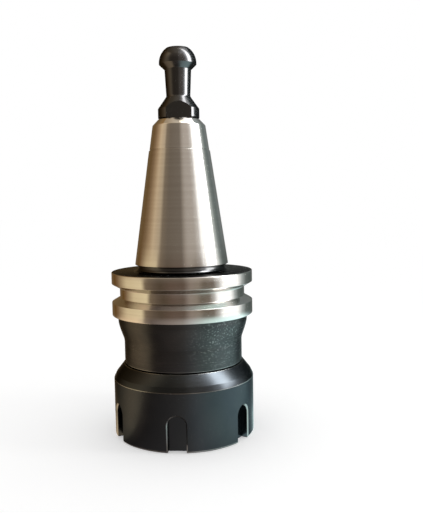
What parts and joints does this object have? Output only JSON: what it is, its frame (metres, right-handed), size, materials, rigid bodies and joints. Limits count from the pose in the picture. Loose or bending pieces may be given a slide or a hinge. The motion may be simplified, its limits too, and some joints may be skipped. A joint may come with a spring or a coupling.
{
  "type": "collet chuck holder",
  "caption": "Steep-taper spindle tool holder with a grooved flange, a slotted clamping nut, a spring collet and a pull stud.",
  "frame": {"origin": "centre of the clamping nut's front face, on the spindle axis, where the holder stands", "axes": "+Z along the spindle axis, from the clamping nut towards the pull stud; -Y is the front, beside the first spanner slot"},
  "size_m": [0.05, 0.05, 0.1354],
  "materials": {
    "holder_steel": "polished",
    "stud_black": "gloss",
    "nut_black": "satin",
    "collet_steel": "satin"
  },
  "bodies": {
    "holder": {"holder_body": "holder_steel", "pull_stud": "stud_black"},
    "collet": {"spring_collet": "collet_steel"},
    "nut": {"clamping_nut": "nut_black"}
  },
  "joints": [
    {"name": "collet_travel", "type": "slide", "parent": "holder", "child": "collet", "axis": [0, 0, -1], "range_m": [0, 0.012]},
    {"name": "nut_turn", "type": "hinge", "parent": "collet", "child": "nut", "pos_m": [0, 0, 0], "axis": [0, 0, -1], "range_deg": [0, 2880]}
  ],
  "couplings": [
    {"joint": "collet_travel", "follows": "nut_turn", "m_per_rad": 0.00023873}
  ]
}
